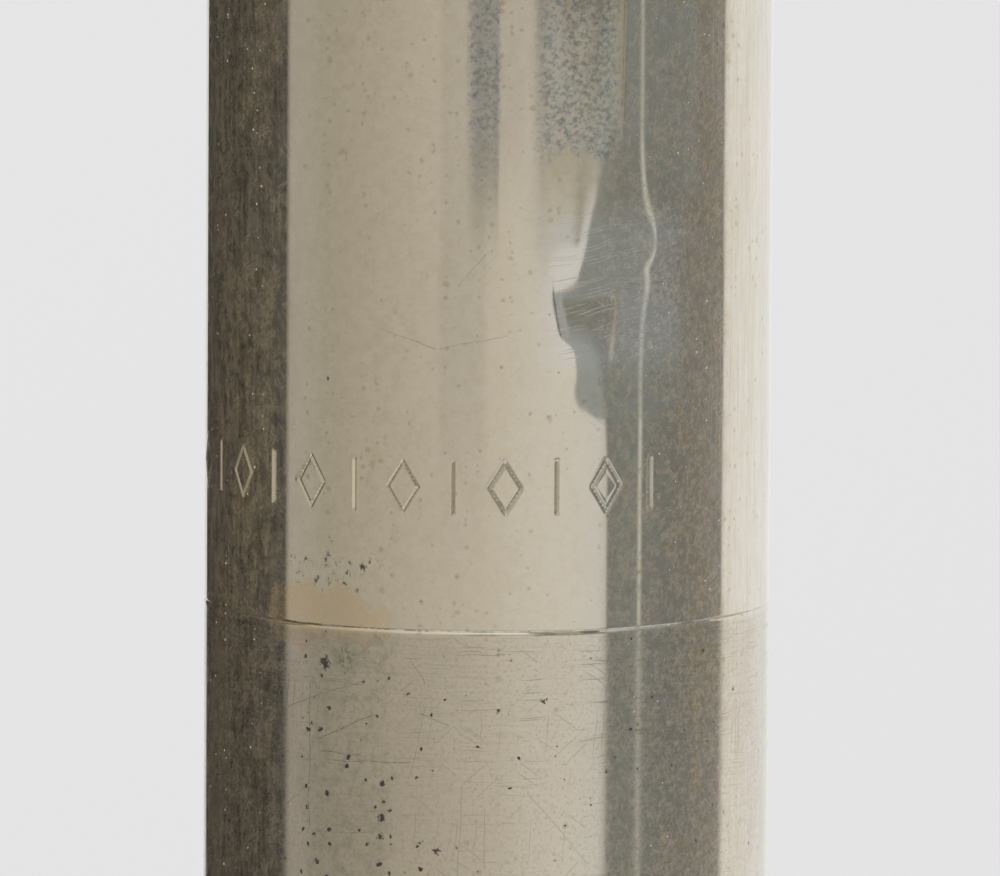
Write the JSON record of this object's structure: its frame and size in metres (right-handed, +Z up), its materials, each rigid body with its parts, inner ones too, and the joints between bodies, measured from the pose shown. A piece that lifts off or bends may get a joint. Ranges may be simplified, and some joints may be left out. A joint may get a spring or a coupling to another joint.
{
  "type": "handlebar stem",
  "caption": "Quill handlebar stem in solid silver: slotted quill with expander cone, lugged forward extension and split handlebar clamp.",
  "frame": {"origin": "centre of the quill tube's lower end, on the quill's axis", "axes": "+Z up the quill's axis, -Y forward the way the extension points, X along the handlebar's axis"},
  "size_m": [0.042, 0.1275, 0.1623],
  "materials": {
    "silver": "polished silver with old tarnish, hairline scratches and pitting",
    "nickelled_steel": "satin nickel plate, worn at the corners",
    "bare_steel": "turned steel, greased and darkened"
  },
  "bodies": {
    "stem": {"quill_tube": "silver", "head_lug": "silver", "head_plug": "silver", "extension_tube": "silver", "bar_clamp": "silver", "quill_pins": "silver", "extension_rear_pins": "silver", "extension_front_pins": "silver", "expander_washer": "nickelled_steel", "clamp_bolt": "nickelled_steel"},
    "expander_screw": {"expander_bolt": "nickelled_steel"},
    "expander_plug": {"expander_cone": "bare_steel", "cone_keys": "bare_steel"},
    "binder_washer": {"clamp_washer": "nickelled_steel"},
    "binder_nut": {"clamp_nut": "nickelled_steel"}
  },
  "joints": [
    {"name": "expander_bolt_turn", "type": "hinge", "parent": "stem", "child": "expander_screw", "pos_m": [0, 0, 0.15], "axis": [0, 0, 1], "range_deg": [0, 1440]},
    {"name": "cone_drop", "type": "slide", "parent": "stem", "child": "expander_plug", "axis": [0, 0, 1], "range_m": [-0.005, 0]},
    {"name": "washer_drop", "type": "slide", "parent": "stem", "child": "binder_washer", "axis": [0, 0, 1], "range_m": [-0.0025, 0]},
    {"name": "clamp_nut_turn", "type": "hinge", "parent": "binder_washer", "child": "binder_nut", "pos_m": [0, -0.1035, 0.085], "axis": [0, 0, 1], "range_deg": [-720, 0]}
  ],
  "couplings": [
    {"joint": "expander_bolt_turn", "follows": "cone_drop", "rad_per_m": -5026.5},
    {"joint": "clamp_nut_turn", "follows": "washer_drop", "rad_per_m": 5026.5}
  ]
}
